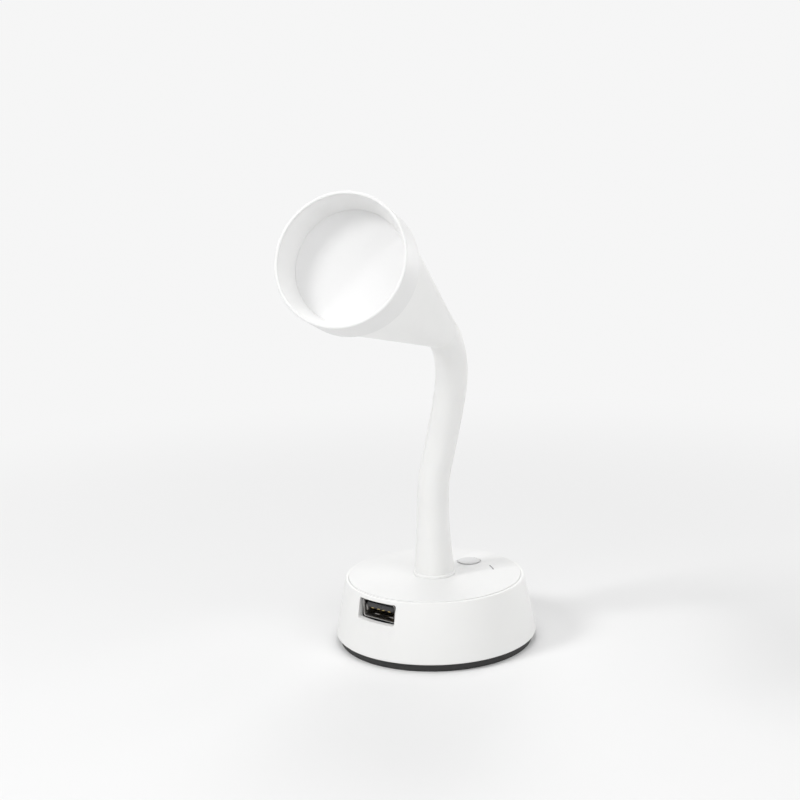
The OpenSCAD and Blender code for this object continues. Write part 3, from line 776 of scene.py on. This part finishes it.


# ---------------------------------------------------------------------------
# Lead
# A thin two-core lead with a soft white jacket. It runs from the board through the core to the
# LED board, bent round each ball of the core.
# ---------------------------------------------------------------------------

jacket, jacket_shader = finish("lead_jacket", (0.72, 0.7, 0.64), 0.5)
raised(jacket, jacket_shader, mottle(jacket, 0.4 * MM, 2.0), 0.01 * MM)
LEAD_RADIUS = 0.55 * MM
LEAD_SIDES = 16
LEAD_RINGS = 12
lead_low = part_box("lamp_lead")[0][2]
lead_path = [(Vector((0, 0, lead_low)), ways[0]), (neck_start + ways[0] * foot_end, ways[0])]
lead_foot = sweep("lead_foot", lead_path, [LEAD_RADIUS] * 2, LEAD_SIDES)
wear(lead_foot, jacket)
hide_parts("lamp_lead")
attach(lead_foot, "base")
for k in range(JOINTS):
    path = bend_path(k, LEAD_RINGS)
    bent_lead = sweep(f"lead_length_{k + 1}", path, [LEAD_RADIUS] * (LEAD_RINGS + 1), LEAD_SIDES)
    wear(bent_lead, jacket)
    start, end = path[0][0], path[-1][0]
    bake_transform(bent_lead)
head_start = balls[-1] + head_way * last_reach
lead_end = middle_of("heat_sink")
head_path = [(head_start, head_way), (lead_end, head_way)]
head_lead = sweep("lead_head", head_path, [LEAD_RADIUS] * 2, LEAD_SIDES)
wear(head_lead, jacket)
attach(head_lead, "head")


# ---------------------------------------------------------------------------
# Head shell
# A slender white trumpet, moulded in one piece. Its narrow end continues the sleeve, and it opens
# towards the front ring. It has the same satin texture as the base.
# ---------------------------------------------------------------------------

head_place = Matrix.Translation(balls[-1]) @ head_way.to_track_quat("Z", "X").to_matrix().to_4x4()


def reach_along_head(node):
    """Nearest and farthest distance of a CAD piece along the head's axis, from the last ball."""
    inverse = head_place.inverted()
    spans = [(inverse @ vert.co).z for vert in frame["nodes"][node].data.vertices]
    return min(spans), max(spans)


def head_radius(node):
    """Largest radius of a CAD piece about the head's axis."""
    inverse = head_place.inverted()
    return max((inverse @ vert.co).xy.length for vert in frame["nodes"][node].data.vertices)


root_z, seat_z = reach_along_head("head_shell")
mouth_radius = head_radius("head_shell")
root_radius = 5.8 * MM
root_round = 0.3 * MM
head_wall = 1.6 * MM
OPENING = 1.02


def trumpet_radius(z):
    """Outer radius of the head shell at a distance along the head."""
    share = max(0.0, (z - root_z) / (seat_z - root_z))
    return root_radius + (mouth_radius - root_radius) * share ** OPENING


# The root is solid round the core's bore, and the hollow opens from it with a short cone
TRUMPET_RINGS = 60
heights = [root_z + root_round + (seat_z - root_z - root_round) * k / TRUMPET_RINGS
           for k in range(TRUMPET_RINGS + 1)]
outside = [(root_radius - root_round, root_z),
           (root_radius - 0.3 * root_round, root_z + 0.3 * root_round)]
outside += [(trumpet_radius(z), z) for z in heights]
bore_end, hollow_start = root_z + 11 * MM, root_z + 12 * MM
inside = [(r - head_wall, z) for r, z in reversed(outside) if z > hollow_start]
core_bore = 3.35 * MM
trumpet = turned("head_trumpet", [(core_bore, root_z)] + outside + inside + [(core_bore, bore_end)],
                 head_place, 192)
head_white = white_moulding("head_white", (0.84, 0.84, 0.83), 0.38)
wear(trumpet, head_white)
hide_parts("head_shell")
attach(trumpet, "head")


# ---------------------------------------------------------------------------
# Front ring
# A short white cylinder pushed into the head shell. It stands a little proud of the shell all
# round, and its front edge is fully rounded.
# ---------------------------------------------------------------------------

rim_z = reach_along_head("front_ring")[1]
rim_radius = head_radius("front_ring")
ring_wall = 0.9 * MM
pocket_radius = rim_radius - ring_wall
seat_radius = mouth_radius - 1.0 * MM
ring_bore = mouth_radius - 2.5 * MM
disc_low, disc_high = reach_along_head("diffuser")
front = turned("front_band", rounded([
    (seat_radius, seat_z),
    (rim_radius, seat_z, 0.3 * MM),
    (rim_radius, rim_z, 0.45 * MM),
    (pocket_radius, rim_z, 0.4 * MM),
    (pocket_radius, disc_low),
    (ring_bore, disc_low),
    (ring_bore, seat_z),
], 8), head_place)
# The ring's white is set darker than the head shell's. This paints part of the shade on the ring's
# band and keeps its rounded rim from clipping to white.
wear(front, white_moulding("rim_white_painted_shade", (0.785, 0.785, 0.78), 0.42))
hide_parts("front_ring")
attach(front, "head")


# ---------------------------------------------------------------------------
# Reflector and diffuser
# Behind the rim a white conical wall leads to the diffuser, a glossy opal acrylic disc that
# spreads the light of the LEDs behind it.
# ---------------------------------------------------------------------------

wall_low, wall_high = reach_along_head("reflector")
disc_show_radius = 14.6 * MM
reflector_white = white_moulding("reflector_white", (0.84, 0.84, 0.835), 0.45)
reflector = turned("reflector_cone", [
    (disc_show_radius, wall_low), (pocket_radius, wall_low), (pocket_radius, wall_high),
], head_place)
wear(reflector, reflector_white)
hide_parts("reflector")
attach(reflector, "head")

opal, opal_shader = finish("opal_acrylic", (0.8, 0.8, 0.8), 0.07)
set_by(opal_shader, "Roughness", between(opal, mottle(opal, 5 * MM, 3.0), 0.3, 0.7, 0.05, 0.09))
scatter(opal_shader, 0.3, (1, 1, 1), 2 * MM)
raised(opal, opal_shader, mottle(opal, 3 * MM, 2.0), 0.01 * MM)
disc_radius = pocket_radius - 0.1 * MM
disc = turned("diffuser_disc", rounded([
    (0, disc_low), (disc_radius, disc_low), (disc_radius, disc_high, 0.1 * MM), (0, disc_high),
]), head_place, 192)
wear(disc, opal)
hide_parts("diffuser")
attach(disc, "head")


# ---------------------------------------------------------------------------
# LED board and heat sink
# Nine small white LEDs on an aluminium-backed board, screwed with its heat sink plate to a ledge
# in the shell.
# ---------------------------------------------------------------------------

board_white, board_white_shader = finish("led_board_white", (0.8, 0.8, 0.79), 0.4)
raised(board_white, board_white_shader, mottle(board_white, 0.5 * MM, 2.0), 0.01 * MM)
redress("led_board", board_white)
phosphor, phosphor_shader = finish("led_phosphor", (0.85, 0.68, 0.16), 0.35)
raised(phosphor, phosphor_shader, mottle(phosphor, 0.3 * MM, 2.0), 0.02 * MM)
redress("led_chips", phosphor)
redress("heat_sink", metal("sink_aluminium", (0.75, 0.75, 0.76), 0.35, drawn=(1, 1, 5)))
redress("led_screws", screw_steel)


# ---------------------------------------------------------------------------
# Desk, lights and camera
# A pale floor without an end, a small strong softbox over the left side, large weaker ones in
# front, right, behind and above, and an even sky. The camera looks down on the lamp a little,
# tipped slightly to one side.
# ---------------------------------------------------------------------------

PALE = 0.92
FLOOR_TONE = 0.82
FLOOR_HALF = 3.0
FADE_START, FADE_END = 0.07, 0.45
floor_corners = [(x * FLOOR_HALF, y * FLOOR_HALF, 0)
                 for x, y in ((-1, -1), (1, -1), (1, 1), (-1, 1))]
floor_mesh = bpy.data.meshes.new("floor")
floor_mesh.from_pydata(floor_corners, [], [(0, 1, 2, 3)])
floor = bpy.data.objects.new("floor", floor_mesh)
bpy.context.collection.objects.link(floor)

# The floor fades into the backdrop's tone away from the lamp, so that it shows no horizon
floor_paint, floor_shader = finish("floor_paint", (FLOOR_TONE, FLOOR_TONE, FLOOR_TONE), 0.9)
floor_shader.inputs["Specular IOR Level"].default_value = 0.0
floor_nodes, floor_links = floor_paint.node_tree.nodes, floor_paint.node_tree.links
glow = floor_nodes.new("ShaderNodeEmission")
glow.inputs["Color"].default_value = (PALE, PALE, PALE, 1)
fade = floor_nodes.new("ShaderNodeMixShader")
floor_place = floor_nodes.new("ShaderNodeTexCoord")
far_off = floor_nodes.new("ShaderNodeVectorMath")
far_off.operation = "LENGTH"
floor_links.new(floor_place.outputs["Object"], far_off.inputs[0])
spread = floor_nodes.new("ShaderNodeMapRange")
spread.interpolation_type = "SMOOTHSTEP"
spread.inputs["From Min"].default_value = FADE_START
spread.inputs["From Max"].default_value = FADE_END
floor_links.new(far_off.outputs["Value"], spread.inputs["Value"])
seen_ray = floor_nodes.new("ShaderNodeLightPath")
shown = floor_nodes.new("ShaderNodeMath")
shown.operation = "MULTIPLY"
floor_links.new(spread.outputs["Result"], shown.inputs[0])
floor_links.new(seen_ray.outputs["Is Camera Ray"], shown.inputs[1])
floor_links.new(shown.outputs[0], fade.inputs[0])
floor_links.new(floor_shader.outputs[0], fade.inputs[1])
floor_links.new(glow.outputs[0], fade.inputs[2])
floor_links.new(fade.outputs[0], floor_nodes["Material Output"].inputs["Surface"])
wear(floor, floor_paint)


AIM = Vector((0, 0, 70 * MM))


def soft_light(name, place, size, power, turn=0):
    """A square softbox that faces the lamp, turned about its own middle."""
    lamp = bpy.data.lights.new(name, "AREA")
    lamp.shape = "SQUARE"
    lamp.size = size
    lamp.energy = power
    box = bpy.data.objects.new(name, lamp)
    box.location = place
    facing = (place - AIM).to_track_quat("Z", "Y").to_matrix()
    box.rotation_euler = (facing @ Matrix.Rotation(math.radians(turn), 3, "Z")).to_euler()
    bpy.context.collection.objects.link(box)


CAMERA_PLACE = Vector((266.3, -327.8, 159.3)) * MM
CAMERA_ANGLES = 79.62, 1.84, 40.08
LENS, SENSOR = 58.5, 36

# The lights are placed by the camera, which looks at the lamp from CAMERA_SIDE degrees round
CAMERA_SIDE = 40
right = Vector((math.cos(math.radians(CAMERA_SIDE)), math.sin(math.radians(CAMERA_SIDE)), 0))
away = Vector((-right.y, right.x, 0))
up = Vector((0, 0, 1))


def seen(x, y, z):
    """A place in metres to the camera's right, away from it and up, from the lamp's foot."""
    return right * x + away * y + up * z


soft_light("key", seen(-0.67, -0.33, 0.67), 0.26, 3.6)
soft_light("front", seen(-0.487, -0.93, 0.488), 0.45, 1.0, 50)
soft_light("over the front", seen(0.1, -0.9, 0.6), 0.6, 1.3)
soft_light("right front", seen(0.6, -0.6, 0.6), 0.6, 2.3)
soft_light("right back", seen(0.8, 0.6, 0.15), 0.5, 2.5)
soft_light("back", seen(0.0, 0.9, 0.6), 0.6, 0.9)
soft_light("top", seen(0.0, 0.0, 1.2), 0.6, 3.9)

# The sky lights the lamp; the camera and anything glossy or clear sees the pale backdrop instead
SKY = 0.35
world = bpy.data.worlds.new("studio")
bpy.context.scene.world = world
world.use_nodes = True
world_nodes, world_links = world.node_tree.nodes, world.node_tree.links
sky = world_nodes["Background"]
sky.inputs["Color"].default_value = (1, 1, 1, 1)
sky.inputs["Strength"].default_value = SKY
backdrop = world_nodes.new("ShaderNodeBackground")
backdrop.inputs["Color"].default_value = (PALE, PALE, PALE, 1)
backdrop.inputs["Strength"].default_value = 1.0
choice = world_nodes.new("ShaderNodeMixShader")
ray = world_nodes.new("ShaderNodeLightPath")
shows = ray.outputs["Is Camera Ray"]
for kind in ("Is Glossy Ray", "Is Transmission Ray"):
    either = world_nodes.new("ShaderNodeMath")
    either.operation = "MAXIMUM"
    world_links.new(shows, either.inputs[0])
    world_links.new(ray.outputs[kind], either.inputs[1])
    shows = either.outputs[0]
world_links.new(shows, choice.inputs[0])
world_links.new(sky.outputs[0], choice.inputs[1])
world_links.new(backdrop.outputs[0], choice.inputs[2])
world_links.new(choice.outputs[0], world_nodes["World Output"].inputs["Surface"])

camera_data = bpy.data.cameras.new("camera")
camera_data.lens = LENS
camera_data.sensor_width = SENSOR
camera = bpy.data.objects.new("camera", camera_data)
camera.location = CAMERA_PLACE
camera.rotation_euler = [math.radians(angle) for angle in CAMERA_ANGLES]
bpy.context.collection.objects.link(camera)
bpy.context.scene.camera = camera
bpy.context.scene.view_settings.view_transform = "Standard"
